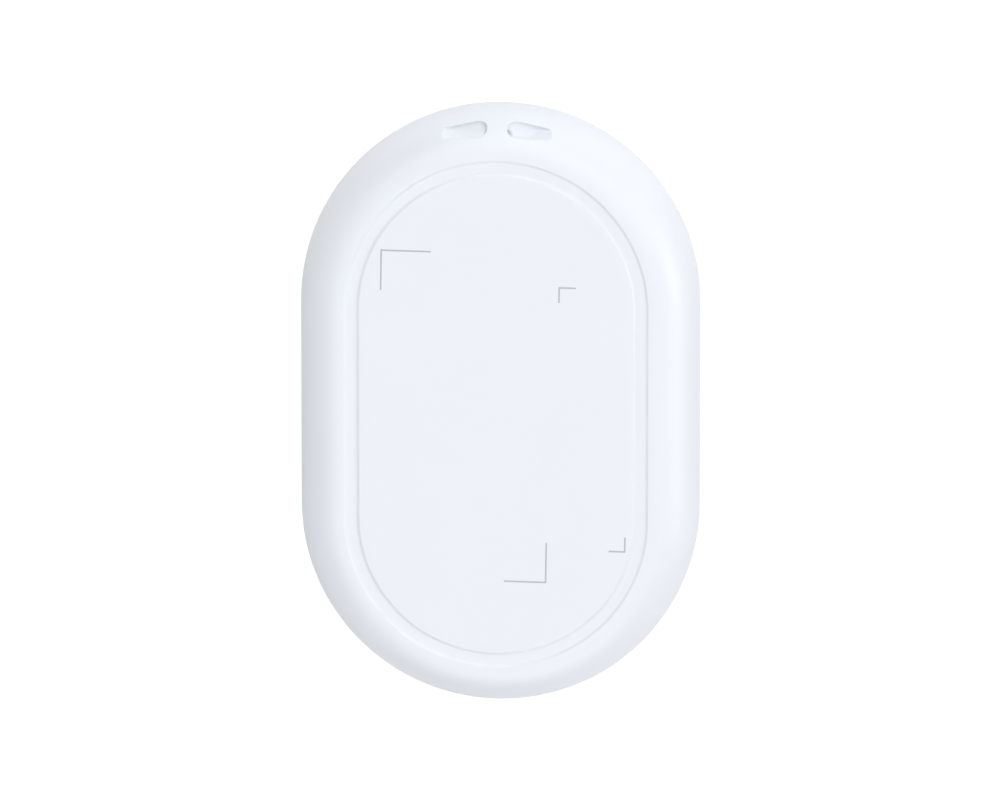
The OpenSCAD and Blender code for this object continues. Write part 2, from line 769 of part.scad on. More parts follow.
upper_shell();
press_face();
corner_marks();
face_gasket();
lower_shell();
case_seal();
battery_door();
door_seal();
battery_pad();
coin_cell_can();
coin_cell_gasket();
coin_cell_cap();
positive_contact();
negative_contact();
circuit_board();
board_screws();
inner_frame();
test_pads();
radio_chip();
crystals();
chip_antenna();
power_inductor();
motion_sensor();
sounder_driver();
chip_capacitors();
switch_base();
switch_terminals();
switch_cover();
switch_dome();
switch_plunger();
piezo_plate();
piezo_ceramic();
piezo_adhesive();
piezo_contacts();
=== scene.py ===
from math import asin, atan2, cos, pi, radians, sin

import bmesh
import bpy
from mathutils import Matrix, Vector


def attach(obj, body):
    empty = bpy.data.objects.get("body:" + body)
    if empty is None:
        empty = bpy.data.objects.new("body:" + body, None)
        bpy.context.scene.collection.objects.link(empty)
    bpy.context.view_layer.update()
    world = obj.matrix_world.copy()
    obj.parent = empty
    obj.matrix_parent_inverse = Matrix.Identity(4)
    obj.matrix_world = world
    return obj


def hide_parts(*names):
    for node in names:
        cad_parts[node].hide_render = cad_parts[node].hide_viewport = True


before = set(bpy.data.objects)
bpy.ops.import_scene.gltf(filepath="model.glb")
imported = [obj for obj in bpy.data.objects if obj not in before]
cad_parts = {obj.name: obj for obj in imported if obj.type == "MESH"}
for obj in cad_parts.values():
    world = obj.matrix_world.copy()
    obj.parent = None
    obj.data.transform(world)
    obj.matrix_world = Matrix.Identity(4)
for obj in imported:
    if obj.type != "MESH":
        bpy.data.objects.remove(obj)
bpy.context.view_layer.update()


# ---------------------------------------------------------------- upper shell
# The front half of the case: one injection moulding in white PC/ABS with a satin spark-eroded skin.
# It carries the rounded rim, the shallow channel round the press face, and the strap bridge.
# It is bonded to the lower shell along the tongue at the seam.

# Sizes in millimetres, as in the case's own design. Meshes are built in millimetres and
# turned to metres when they are finished.
BODY_W = 31.0
BODY_L = 47.0
BODY_T = 9.8
SEAM_Z = 4.6
FRONT_ROUND = 3.4
ROUND_POWER = 2.2
END_Y = (BODY_L - BODY_W) / 2
OUTLINE_R = BODY_W / 2
WALL = 1.4
CAVITY_R = OUTLINE_R - WALL
CAVITY_ROUND = 2.0
RIM_W = 3.8
CHANNEL_R = OUTLINE_R - RIM_W
CHANNEL_W = 0.85
CHANNEL_DEPTH = 0.12
CHANNEL_SLOPE = 45
FACE_R = CHANNEL_R - CHANNEL_W
FACE_REACH = 0.25
FACE_GAP = 0.002
LEDGE_T = 0.7
LEDGE_Z = BODY_T - CHANNEL_DEPTH - LEDGE_T
FLANGE_ROOM = 0.1
FLANGE_R = CHANNEL_R - FLANGE_ROOM
ROOF_T = 1.5
ROOF_STEP = 0.2
TONGUE_T = 0.5
TONGUE_R = CAVITY_R + TONGUE_T
TONGUE_H = 0.8
REBATE_ROOM = 0.33
FIT = 0.02
SEAM_BEVEL = 0.05
END_STEPS = 128
# Angle in degrees and number of steps of each span of the strap end, finest at the pockets
STRAP_SPANS = ((62, 24), (56, 144), (62, 24))

BRIDGE_W = 1.5
POCKET_L = 3.8
POCKET_R = 0.71
POCKET_TIP_R = 0.44
POCKET_TIP_DROP = 0.08
POCKET_DEPTH = 0.8
POCKET_LEAN = radians(38)
POCKET_PLACE = 50
POCKET_FULLNESS = 4
POCKET_TOP = 1
POCKET_FLARE = 1.05
RAMP_ANGLE = 24
RAMP_RISE = 0.05
TUNNEL_R = 0.35
TUNNEL_DEPTH = 0.85
BOSS_Z = 7.28
BOSS_TOP_Z = BODY_T - 1
BOSS_SPREAD = radians(23)
BOSS_LAP = 0.3
BOSS_LEAN = 0.4
# The part of the rim where the pockets' edges are softened
STRAP_Y = END_Y + 11
SOFT_X = 6
SOFT_Y = END_Y + 12.2
SOFT_Z = SEAM_Z + 2
SOFT_CREASE = radians(24)
EDGE_SOFTENING = 5


def rounded_edge(flat_r, reach, z, rise, power, steps):
    """Points of a superelliptic edge from the seam's height to the flat."""
    points = []
    for i in range(steps + 1):
        t = radians(90 * i / steps)
        points.append((flat_r + reach * cos(t) ** (2 / power) if i < steps else flat_r,
                       z + rise * sin(t) ** (2 / power)))
    return points


def fillet(r, z, radius, start, turn, steps=6):
    """Points of a small round in the profile, about the given centre."""
    angles = [radians(start + turn * i / steps) for i in range(steps + 1)]
    return [(r + radius * cos(a), z + radius * sin(a)) for a in angles]


def add_profile(bm, profile, closed):
    """The profile's points as a wire in the plane where the straight side meets the strap end."""
    verts = [bm.verts.new((r, END_Y, z)) for r, z in profile]
    pairs = list(zip(verts, verts[1:])) + ([(verts[-1], verts[0])] if closed else [])
    return [bm.edges.new(pair) for pair in pairs]


def sweep_pill(bm, profile, closed=True, strap_end=((180, END_STEPS),)):
    """Sweeps a profile of (distance from the end's centre, height) round the pill outline."""
    edges = add_profile(bm, profile, closed)
    for side, spans in ((1, strap_end), (-1, ((180, END_STEPS),))):
        for angle, steps in spans:
            verts = list({v for e in edges for v in e.verts})
            last = bmesh.ops.spin(
                bm, geom=verts + edges, cent=(0, side * END_Y, 0), axis=(0, 0, 1),
                angle=radians(angle), steps=steps, use_duplicate=False)["geom_last"]
            edges = [g for g in last if isinstance(g, bmesh.types.BMEdge)]
        moved = bmesh.ops.extrude_edge_only(bm, edges=edges)["geom"]
        edges = [g for g in moved if isinstance(g, bmesh.types.BMEdge)]
        bmesh.ops.translate(
            bm, vec=(0, -2 * side * END_Y, 0), verts=[g for g in moved if isinstance(g, bmesh.types.BMVert)])
    bmesh.ops.remove_doubles(bm, verts=bm.verts, dist=0.001)


def lengthen(verts, reach):
    """Moves the two ends apart by reach each, which makes the pill's straight sides longer."""
    for vert in verts:
        vert.co.y += reach if vert.co.y > 0 else -reach


def make_object(bm, name):
    """A new object from a bmesh, in the bmesh's own units."""
    mesh = bpy.data.meshes.new(name)
    bm.to_mesh(mesh)
    bm.free()
    piece = bpy.data.objects.new(name, mesh)
    bpy.context.scene.collection.objects.link(piece)
    return piece


def apply_modifiers(piece):
    """Keeps the mesh as its modifiers leave it, and drops them."""
    graph = bpy.context.evaluated_depsgraph_get()
    shaped = bpy.data.meshes.new_from_object(piece.evaluated_get(graph))
    piece.modifiers.clear()
    piece.data = shaped


def combine(piece, tools, operation):
    """Cuts each tool from the piece, or joins it on, and removes the tools."""
    for tool in tools:
        modifier = piece.modifiers.new("combine", "BOOLEAN")
        modifier.operation = operation
        modifier.solver = "EXACT"
        modifier.object = tool
    apply_modifiers(piece)
    for tool in tools:
        bpy.data.objects.remove(tool)


def finish_piece(piece, sharp_degrees=35):
    """Turns millimetres to metres and shades the piece smooth between its sharp edges."""
    piece.data.transform(Matrix.Scale(0.001, 4))
    piece.data.shade_smooth()
    piece.data.set_sharp_from_angle(angle=radians(sharp_degrees))
    piece.data.update()
    return piece


def channel_edge(r, z):
    """An edge of the channel from the front out and down: an S of two equal arcs, centred on r."""
    bend = CHANNEL_DEPTH / 2 / (1 - cos(radians(CHANNEL_SLOPE)))
    reach = bend * sin(radians(CHANNEL_SLOPE))
    upper = fillet(r - reach, z - bend, bend, 90, -CHANNEL_SLOPE)
    lower = fillet(r + reach, z - CHANNEL_DEPTH + bend, bend, 270 - CHANNEL_SLOPE, CHANNEL_SLOPE)
    return upper + lower[1:]


def upper_shell_profile():
    """The closed section of the rim, from the seam over the front and back through the inside."""
    outside = rounded_edge(OUTLINE_R - FRONT_ROUND, FRONT_ROUND, SEAM_Z, BODY_T - SEAM_Z, ROUND_POWER, 64)
    outside[0] = (OUTLINE_R - SEAM_BEVEL, SEAM_Z)
    outside.insert(1, (OUTLINE_R, SEAM_Z + SEAM_BEVEL))
    channel = [(2 * CHANNEL_R - r, z) for r, z in channel_edge(CHANNEL_R, BODY_T)]
    inside = [
        (FACE_R + FACE_GAP, BODY_T - CHANNEL_DEPTH), (FACE_R + FACE_GAP, LEDGE_Z),
        (FLANGE_R + FLANGE_ROOM, LEDGE_Z), (FLANGE_R + FLANGE_ROOM, BODY_T - ROOF_T - ROOF_STEP),
    ]
    roof_rise = BODY_T - ROOF_T - SEAM_Z
    cavity = rounded_edge(CAVITY_R - CAVITY_ROUND, CAVITY_ROUND, SEAM_Z, roof_rise, 2, 16)[::-1]
    rebate = SEAM_Z + TONGUE_H + REBATE_ROOM
    cavity = [p for p in cavity if p[1] > rebate]
    seam = [(CAVITY_R - SEAM_BEVEL, rebate), (TONGUE_R + FIT, rebate), (TONGUE_R + FIT, SEAM_Z)]
    return outside + channel + inside + cavity + seam


def strap_frame(side):
    """Where a strap pocket sits: x runs to its tip, y down the rim, z out of the surface."""
    t = radians(POCKET_PLACE)
    reach = OUTLINE_R - FRONT_ROUND + FRONT_ROUND * cos(t) ** (2 / ROUND_POWER)
    height = SEAM_Z + (BODY_T - SEAM_Z) * sin(t) ** (2 / ROUND_POWER)
    slope = atan2(cos(t) ** (2 - 2 / ROUND_POWER) / FRONT_ROUND,
                  sin(t) ** (2 - 2 / ROUND_POWER) / (BODY_T - SEAM_Z))
    turn = -side * asin((BRIDGE_W + POCKET_L) / 2 / reach)
    return (Matrix.Translation((0, END_Y, 0)) @ Matrix.Rotation(turn, 4, "Z")
            @ Matrix.Translation((0, reach, height)) @ Matrix.Rotation(-slope, 4, "X")
            @ Matrix.Diagonal((side or 1, 1, 1, 1)))


def pocket_cutter(side):
    """A slot with a round end at the bridge and a ramp that runs out at its tip."""
    bm = bmesh.new()
    bridge_end = (POCKET_R - POCKET_L / 2, 0, POCKET_R)
    tip = (POCKET_L / 2 - POCKET_TIP_R, POCKET_TIP_DROP, POCKET_TIP_R)
    for x, y, r in (bridge_end, tip):
        rings = [(max(r * cos(radians(t)) ** (2 / POCKET_FULLNESS), 0.01),
                  -POCKET_DEPTH * sin(radians(t)) ** (2 / POCKET_FULLNESS)) for t in range(0, 91, 10)]
        for ring_r, z in rings + [(r * POCKET_FLARE, POCKET_TOP)]:
            bmesh.ops.create_circle(
                bm, cap_ends=False, segments=48, radius=ring_r, matrix=Matrix.Translation((x, y, z)))
    bmesh.ops.convex_hull(bm, input=bm.verts[:])
    bmesh.ops.delete(bm, geom=[v for v in bm.verts if not v.link_faces], context="VERTS")
    bmesh.ops.transform(bm, matrix=Matrix.Rotation(POCKET_LEAN, 4, "X"), verts=bm.verts)
    bmesh.ops.bisect_plane(
        bm, geom=bm.verts[:] + bm.edges[:] + bm.faces[:], plane_co=(POCKET_L / 2, 0, RAMP_RISE),
        plane_no=(-sin(radians(RAMP_ANGLE)), 0, cos(radians(RAMP_ANGLE))), clear_inner=True)
    bmesh.ops.holes_fill(bm, edges=[e for e in bm.edges if e.is_boundary])
    bmesh.ops.transform(bm, matrix=strap_frame(side), verts=bm.verts)
    bmesh.ops.recalc_face_normals(bm, faces=bm.faces)
    cutter = make_object(bm, "pocket_cutter")
    even = cutter.modifiers.new("even", "REMESH")
    even.mode = "VOXEL"
    even.voxel_size = 0.06
    apply_modifiers(cutter)
    return cutter


def tunnel_cutter():
    """The straight round tunnel that joins the pockets under the bridge."""
    bm = bmesh.new()
    bmesh.ops.create_cone(
        bm, cap_ends=True, segments=48, radius1=TUNNEL_R, radius2=TUNNEL_R, depth=BRIDGE_W + POCKET_R,
        matrix=strap_frame(0) @ Matrix.Translation((0, 0, -TUNNEL_DEPTH)) @ Matrix.Rotation(pi / 2, 4, "Y"))
    return make_object(bm, "tunnel_cutter")


def soften_pocket_edges(piece):
    """Rounds the pockets' edges over a tenth of a millimetre or so, as the polished mould leaves them."""
    bm = bmesh.new()
    bm.from_mesh(piece.data)
    zone = [f for f in bm.faces if f.calc_center_median().y > STRAP_Y and len(f.verts) > 4]
    bmesh.ops.triangulate(bm, faces=zone)
    edges = [e for e in bm.edges if e.is_manifold and e.calc_face_angle() > SOFT_CREASE]
    near = {v for e in edges for v in e.verts
            if v.co.y > SOFT_Y and v.co.z > SOFT_Z and abs(v.co.x) < SOFT_X}
    for grow in range(2):
        near |= {e.other_vert(v) for v in near for e in v.link_edges}
    for turn in range(EDGE_SOFTENING):
        bmesh.ops.smooth_vert(
            bm, verts=list(near), factor=0.5, use_axis_x=True, use_axis_y=True, use_axis_z=True)
    bm.to_mesh(piece.data)
    bm.free()


def spun_block(corners, middle, spread, centre_y=0, steps=24):
    """A flat outline of (radius, height) corners, spun round an upright axis to both sides of middle."""
    bm = bmesh.new()
    verts = [bm.verts.new((r, 0, z)) for r, z in corners]
    face = bm.faces.new(verts)
    bmesh.ops.spin(bm, geom=[face] + face.edges[:] + verts, cent=(0, 0, 0), axis=(0, 0, 1), angle=2 * spread,
                   steps=steps, use_duplicate=False)
    place = Matrix.Translation((0, centre_y, 0)) @ Matrix.Rotation(middle - spread, 4, "Z")
    bmesh.ops.transform(bm, matrix=place, verts=bm.verts)
    bmesh.ops.recalc_face_normals(bm, faces=bm.faces)
    return make_object(bm, "spun_block")


def strap_boss():
    """The thick place inside the rim that the pockets are cut into."""
    inner_r = FLANGE_R + FLANGE_ROOM + FACE_REACH
    corners = ((inner_r, BOSS_Z), (CAVITY_R + BOSS_LAP, BOSS_Z), (CAVITY_R - BOSS_LEAN, BOSS_TOP_Z),
               (inner_r, BOSS_TOP_Z))
    return spun_block(corners, pi / 2, BOSS_SPREAD, END_Y)


bm = bmesh.new()
sweep_pill(bm, upper_shell_profile(), strap_end=STRAP_SPANS)
# Everything inside the channel's outer edge, from the roof's step up, reaches further at both ends
edge_reach = 0.15
inside_r = CHANNEL_R + edge_reach
below_step_z = BODY_T - ROOF_T - 1.5 * ROOF_STEP
lengthen([v for v in bm.verts if v.co.z > below_step_z
          and max(abs(v.co.y) - END_Y, 0) ** 2 + v.co.x ** 2 < inside_r ** 2], FACE_REACH)
bmesh.ops.recalc_face_normals(bm, faces=bm.faces)
upper_shell = make_object(bm, "upper_shell_moulding")
combine(upper_shell, [strap_boss()], "UNION")
combine(upper_shell, [pocket_cutter(-1), pocket_cutter(1), tunnel_cutter()], "DIFFERENCE")
soften_pocket_edges(upper_shell)
finish_piece(upper_shell)


def linear(code):
    """An sRGB hex colour as linear red, green, blue and alpha."""
    parts = [int(code[i:i + 2], 16) / 255 for i in (1, 3, 5)]
    return [c / 12.92 if c <= 0.04045 else ((c + 0.055) / 1.055) ** 2.4 for c in parts] + [1.0]


def new_material(name):
    """A material with only its shader and output, and the shader's node."""
    material = bpy.data.materials.new(name)
    material.use_nodes = True
    return material, material.node_tree.nodes["Principled BSDF"]


def add_node(material, kind, inputs=(), **settings):
    """Adds a node: settings set its properties, and inputs gives each input a value or a link."""
    made = material.node_tree.nodes.new(kind)
    for key, value in settings.items():
        setattr(made, key, value)
    for key, value in dict(inputs).items():
        if isinstance(value, bpy.types.NodeSocket):
            material.node_tree.links.new(value, made.inputs[key])
        else:
            made.inputs[key].default_value = value
    return made


def link(material, source, target):
    material.node_tree.links.new(source, target)


def satin_white_plastic(name, body, shade):
    """PC/ABS from a spark-eroded mould: an even white with a satin skin that has almost no glint.
    Its colour drifts by less than a hundredth over some millimetres, and dust leaves rare specks."""
    material, shader = new_material(name)
    place = add_node(material, "ShaderNodeTexCoord").outputs["Object"]
    drift = add_node(material, "ShaderNodeTexNoise", {"Vector": place, "Scale": 1 / 0.009, "Detail": 2.0})
    tone = add_node(material, "ShaderNodeMix", {
        "Factor": drift.outputs["Fac"], "A": linear(body), "B": linear(shade)}, data_type="RGBA")
    dust = add_node(material, "ShaderNodeTexVoronoi", {"Vector": place, "Scale": 1 / 0.0042})
    small = add_node(material, "ShaderNodeMath", {
        0: dust.outputs["Distance"], 1: 0.018}, operation="LESS_THAN")
    pick = add_node(material, "ShaderNodeSeparateColor", {"Color": dust.outputs["Color"]})
    rare = add_node(material, "ShaderNodeMath", {0: pick.outputs["Red"], 1: 0.93}, operation="GREATER_THAN")
    speck = add_node(material, "ShaderNodeMath", {
        0: small.outputs[0], 1: rare.outputs[0]}, operation="MULTIPLY")
    marked = add_node(material, "ShaderNodeMix", {
        "Factor": speck.outputs[0], "A": tone.outputs["Result"], "B": linear("#B9B7B2")}, data_type="RGBA")
    link(material, marked.outputs["Result"], shader.inputs["Base Color"])
    # The mould's grain is about 0.03 mm, drawn at 0.12 mm so that it can show.
    grain = add_node(material, "ShaderNodeTexNoise", {"Vector": place, "Scale": 1 / 0.00012, "Detail": 3.0})
    gloss = add_node(material, "ShaderNodeMapRange", {
        "Value": grain.outputs["Fac"], "To Min": 0.40, "To Max": 0.50})
    link(material, gloss.outputs["Result"], shader.inputs["Roughness"])
    bump = add_node(material, "ShaderNodeBump", {
        "Height": grain.outputs["Fac"], "Strength": 0.12, "Distance": 0.000004})
    link(material, bump.outputs["Normal"], shader.inputs["Normal"])
    shader.inputs["IOR"].default_value = 1.57
    return material


case_plastic = satin_white_plastic("satin_moulded_white_pc_abs", "#EDF1F7", "#EBEFF6")
upper_shell.data.materials.append(case_plastic)
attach(upper_shell, "housing")
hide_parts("upper_shell")


# ---------------------------------------------------------------- press face
# The flat pill-shaped panel that is pressed to work the switch, moulded in the same white PC/ABS.
# It stands level with the rim inside the channel. A flange under the rim's ledge keeps it in.

PLATE_T = 1.15
FACE_Z0 = BODY_T - PLATE_T
RUNNING_GAP = 0.05
FLANGE_T = 0.65
FLANGE_LAP = 0.8
FLANGE_Z1 = LEDGE_Z - RUNNING_GAP
FLANGE_Z0 = FLANGE_Z1 - FLANGE_T
PLUNGER_TOP_Z = 7.8
PLUNGER_GAP = 0.03
POST_R = 1.4
POST_LAP = 0.2
EDGE_INSET = 0.15
# The print stands this much proud of the panel, and its top is the tag's highest point.
PRINT_H = 0.006


def cylinder(x, y, r, z0, z1, name="cylinder", segments=64):
    """An upright closed cylinder to cut or join with."""
    bm = bmesh.new()
    bmesh.ops.create_cone(bm, cap_ends=True, segments=segments, radius1=r, radius2=r, depth=z1 - z0,
                          matrix=Matrix.Translation((x, y, (z0 + z1) / 2)))
    return make_object(bm, name)


def press_face_profile():
    """The section from the top's middle out, round the flange and back under the plate."""
    top = BODY_T - PRINT_H
    edge = channel_edge(FACE_R - EDGE_INSET, top)
    return [(FACE_R - 1, top)] + edge + [
        (FACE_R, FLANGE_Z1), (FLANGE_R, FLANGE_Z1), (FLANGE_R, FLANGE_Z0), (FACE_R - FLANGE_LAP, FLANGE_Z0),
        (FACE_R - FLANGE_LAP, FACE_Z0),
    ]


bm = bmesh.new()
sweep_pill(bm, press_face_profile(), closed=False)
lengthen(bm.verts, FACE_REACH)
bmesh.ops.holes_fill(bm, edges=[e for e in bm.edges if e.is_boundary])
bmesh.ops.recalc_face_normals(bm, faces=bm.faces)
press_face = make_object(bm, "press_face_moulding")
combine(press_face, [cylinder(0, 0, POST_R, PLUNGER_TOP_Z + PLUNGER_GAP, FACE_Z0 + POST_LAP)], "UNION")
finish_piece(press_face)
press_face.data.materials.append(satin_white_plastic("satin_moulded_white_pc_abs_face", "#EDF1F7", "#EBEFF6"))
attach(press_face, "face")
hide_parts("press_face")


# ---------------------------------------------------------------- corner marks
# Two pairs of corner lines, pad printed in light grey ink a few thousandths of a millimetre thick.
# The pad lifts unevenly, so the ink is a little thinner in places.

MARK_LINE = 0.12
MARK_TURN = radians(-1)
# Each frame: centre, width, length, and the arms of its upper left and lower right corners
MARK_FRAMES = (
    ((-2.51, -0.16), 13.3, 26.0, ((3.9, 3.2), (3.3, 3.2))),
    ((7.44, -0.28), 5.58, 20.84, ((1.35, 1.25), (1.3, 1.2))),
)


def printed_corner(bm, centre, w, l, arms, half_turn):
    """One L of ink, drawn at the upper left corner and turned half round for the lower right one."""
    across, down = arms
    start = bmesh.ops.create_grid(bm, x_segments=1, y_segments=1, size=MARK_LINE / 2)["verts"]
    bmesh.ops.translate(bm, vec=(MARK_LINE / 2, -MARK_LINE / 2, 0), verts=start)
    square = start[0].link_faces[0]
    verts = set(start)
    for direction, length in (((1, 0, 0), across), ((0, -1, 0), down)):
        way = Vector(direction)
        side = max(square.edges, key=lambda e: sum((v.co for v in e.verts), Vector()).dot(way))
        grown = bmesh.ops.extrude_edge_only(bm, edges=[side])["geom"]
        tips = [g for g in grown if isinstance(g, bmesh.types.BMVert)]
        bmesh.ops.translate(bm, vec=way * (length - MARK_LINE), verts=tips)
        verts |= set(tips)
    place = (Matrix.Translation((*centre, BODY_T - PRINT_H)) @ Matrix.Rotation(MARK_TURN, 4, "Z")
             @ Matrix.Rotation(half_turn, 4, "Z") @ Matrix.Translation((-w / 2, l / 2, 0)))
    bmesh.ops.transform(bm, matrix=place, verts=list(verts))


bm = bmesh.new()
for centre, w, l, both_arms in MARK_FRAMES:
    for arms, half_turn in zip(both_arms, (0, pi)):
        printed_corner(bm, centre, w, l, arms, half_turn)
bmesh.ops.recalc_face_normals(bm, faces=bm.faces)
for face in bm.faces:
    if face.normal.z < 0:
        face.normal_flip()
top = bmesh.ops.extrude_face_region(bm, geom=bm.faces[:])["geom"]
bmesh.ops.translate(bm, vec=(0, 0, PRINT_H), verts=[g for g in top if isinstance(g, bmesh.types.BMVert)])
bmesh.ops.recalc_face_normals(bm, faces=bm.faces)
corner_marks = make_object(bm, "corner_marks_print")
finish_piece(corner_marks)


def pad_printed_ink():
    """Light grey pad-printing ink: flat and matt, and a little uneven over half a millimetre."""
    material, shader = new_material("pad_printed_grey_ink")
    place = add_node(material, "ShaderNodeTexCoord").outputs["Object"]
    cover = add_node(material, "ShaderNodeTexNoise", {"Vector": place, "Scale": 1 / 0.0005, "Detail": 3.0})
    ink = add_node(material, "ShaderNodeMix", {
        "Factor": cover.outputs["Fac"], "A": linear("#B4B5B8"), "B": linear("#C2C3C6")}, data_type="RGBA")
    link(material, ink.outputs["Result"], shader.inputs["Base Color"])
    shader.inputs["Roughness"].default_value = 0.6
    return material


corner_marks.data.materials.append(pad_printed_ink())
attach(corner_marks, "face")
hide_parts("corner_marks")


# ---------------------------------------------------------------- lower shell
# The rear half of the case, moulded in the same white PC/ABS, with a flat land to lie on.
# A round tub in its floor takes the coin cell, and a stepped recess takes the battery door.

REAR_ROUND = 3.0
REAR_FLAT_R = OUTLINE_R - REAR_ROUND
DOOR_R = 11.9
DOOR_RECESS_R = DOOR_R + 0.05
DOOR_Z0 = 0.1
DOOR_Z1 = 1.0
BORE_R = 11.1
TUB_R = 12.0
TUB_TOP_Z = 4.96
FLOOR_T = 1.5
FLOOR_R = 13.2
CORNER_RISE = 0.9
RECESS_LIP = 0.1
DOT_R = 0.35
DOT_DEPTH = 0.2
DOOR_TURN = radians(30)


def lower_shell_profile():
    """The section from the rear land out, up the rounded side, over the tongue and down inside."""
    outside = rounded_edge(REAR_FLAT_R, REAR_ROUND, SEAM_Z, -SEAM_Z, ROUND_POWER, 48)[::-1]
    outside[-1] = (OUTLINE_R, SEAM_Z - SEAM_BEVEL)
    tongue_top = SEAM_Z + TONGUE_H
    inside = [
        (OUTLINE_R - SEAM_BEVEL, SEAM_Z), (TONGUE_R, SEAM_Z), (TONGUE_R, tongue_top), (CAVITY_R, tongue_top),
        (CAVITY_R, FLOOR_T + CORNER_RISE), (FLOOR_R, FLOOR_T),
    ]
    return outside + inside


def spin_round(bm, profile, closed=False, steps=192):
    """Spins a profile of (radius, height) a full turn about the door's axis."""
    verts = [bm.verts.new((r, 0, z)) for r, z in profile]
    pairs = list(zip(verts, verts[1:])) + ([(verts[-1], verts[0])] if closed else [])
    edges = [bm.edges.new(pair) for pair in pairs]
    bmesh.ops.spin(bm, geom=verts + edges, cent=(0, 0, 0), axis=(0, 0, 1), angle=2 * pi, steps=steps,
                   use_duplicate=False, use_merge=True)
    bmesh.ops.remove_doubles(bm, verts=bm.verts, dist=0.001)


bm = bmesh.new()
sweep_pill(bm, lower_shell_profile(), closed=False)
tub = fillet(DOOR_RECESS_R + RECESS_LIP, RECESS_LIP, RECESS_LIP, -90, -90) + [
    (DOOR_RECESS_R, DOOR_Z1 + FIT), (BORE_R, DOOR_Z1 + FIT), (BORE_R, TUB_TOP_Z), (TUB_R, TUB_TOP_Z),
    (TUB_R, FLOOR_T),
]
spin_round(bm, tub)
for z in (0, FLOOR_T):
    rim = [e for e in bm.edges if e.is_boundary and all(abs(v.co.z - z) < 0.001 for v in e.verts)]
    bmesh.ops.triangle_fill(bm, edges=rim, use_beauty=True, use_dissolve=False)
bmesh.ops.recalc_face_normals(bm, faces=bm.faces)
lower_shell = make_object(bm, "lower_shell_moulding")
dot_ring_r = DOOR_R + 3 * DOT_R
dots = [cylinder(dot_ring_r * sin(turn), dot_ring_r * cos(turn), DOT_R, -0.5, DOT_DEPTH, segments=32)
        for turn in (0, DOOR_TURN)]
combine(lower_shell, dots, "DIFFERENCE")
finish_piece(lower_shell)
lower_shell.data.materials.append(case_plastic)
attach(lower_shell, "housing")
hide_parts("lower_shell")


# ---------------------------------------------------------------- battery door
# A round cover in white PC/ABS that a coin turns by its slot. Three lugs on its skirt lock under
# a ledge in the rear shell, and an O-ring in the skirt's groove keeps water out.

SLOT_W = 1.8
SLOT_L = 15.0
SLOT_DEPTH = 0.55
SKIRT_R = 11.05
SKIRT_IN_R = 10.25
SKIRT_TOP_Z = 3.2
LUG_R = 11.7
LUG_Z0 = 1.65
LUG_H = 0.6
LUG_ANGLE = radians(24)
GROOVE_R = 10.56
GROOVE_Z0 = 2.475
GROOVE_Z1 = 3.015
DOOR_LIP = 0.12


def door_profile():
    """The section from the middle of the face out, up the skirt with its groove, and back inside."""
    edge = fillet(DOOR_R - DOOR_LIP, DOOR_Z0 + DOOR_LIP, DOOR_LIP, -90, 90)
    return [(0.001, DOOR_Z0)] + edge + [
        (DOOR_R, DOOR_Z1), (SKIRT_R, DOOR_Z1), (SKIRT_R, GROOVE_Z0), (GROOVE_R, GROOVE_Z0),
        (GROOVE_R, GROOVE_Z1), (SKIRT_R, GROOVE_Z1), (SKIRT_R, SKIRT_TOP_Z), (SKIRT_IN_R, SKIRT_TOP_Z),
        (SKIRT_IN_R, DOOR_Z1), (0.001, DOOR_Z1),
    ]


def coin_slot():
    """A slot with rounded ends and corners, deep enough for a coin's edge."""
    bm = bmesh.new()
    bmesh.ops.create_cube(bm, size=1)
    height = 1 + SLOT_DEPTH
    bmesh.ops.scale(bm, vec=(SLOT_L, SLOT_W, height), verts=bm.verts)
    bmesh.ops.translate(bm, vec=(0, 0, DOOR_Z0 + SLOT_DEPTH - height / 2), verts=bm.verts)
    upright = [e for e in bm.edges if abs(e.verts[0].co.z - e.verts[1].co.z) > 0.1]
    bmesh.ops.bevel(bm, geom=upright, offset=SLOT_W * 0.45, offset_type="OFFSET", segments=10, profile=0.5,
                    affect="EDGES", material=-1)
    floor = [e for e in bm.edges if all(v.co.z > DOOR_Z0 + SLOT_DEPTH - 0.01 for v in e.verts)]
    bmesh.ops.bevel(bm, geom=floor, offset=0.15, offset_type="OFFSET", segments=4, profile=0.5,
                    affect="EDGES", material=-1)
    return make_object(bm, "coin_slot")


def bayonet_lug(turn):
    """One lug: a short stretch of ring on the skirt."""
    root_r = SKIRT_R - 0.2
    top_z = LUG_Z0 + LUG_H
    corners = ((root_r, LUG_Z0), (LUG_R, LUG_Z0), (LUG_R, top_z), (root_r, top_z))
    return spun_block(corners, turn, LUG_ANGLE / 2, steps=12)


bm = bmesh.new()
spin_round(bm, door_profile())
bmesh.ops.recalc_face_normals(bm, faces=bm.faces)
battery_door = make_object(bm, "battery_door_moulding")
combine(battery_door, [bayonet_lug(i * 2 * pi / 3) for i in range(3)], "UNION")
door_dot = cylinder(0, DOOR_R - 3 * DOT_R, DOT_R, -0.5, DOOR_Z0 + DOT_DEPTH, segments=32)
combine(battery_door, [coin_slot(), door_dot], "DIFFERENCE")
finish_piece(battery_door)
battery_door.data.materials.append(
    satin_white_plastic("satin_moulded_white_pc_abs_door", "#EDF1F7", "#EAEEF5"))
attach(battery_door, "door")
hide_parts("battery_door")


# ---------------------------------------------------------------- seals and foam
# The ring under the press face, the two seals and the pad that presses the cell are soft parts.
# The seals are moulded or poured silicone, and the pad is cut from closed-cell foam.

def give_finish(material, *names):
    """Puts a material on these CAD nodes."""
    for name in names:
        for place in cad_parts[name].material_slots:
            place.material = material


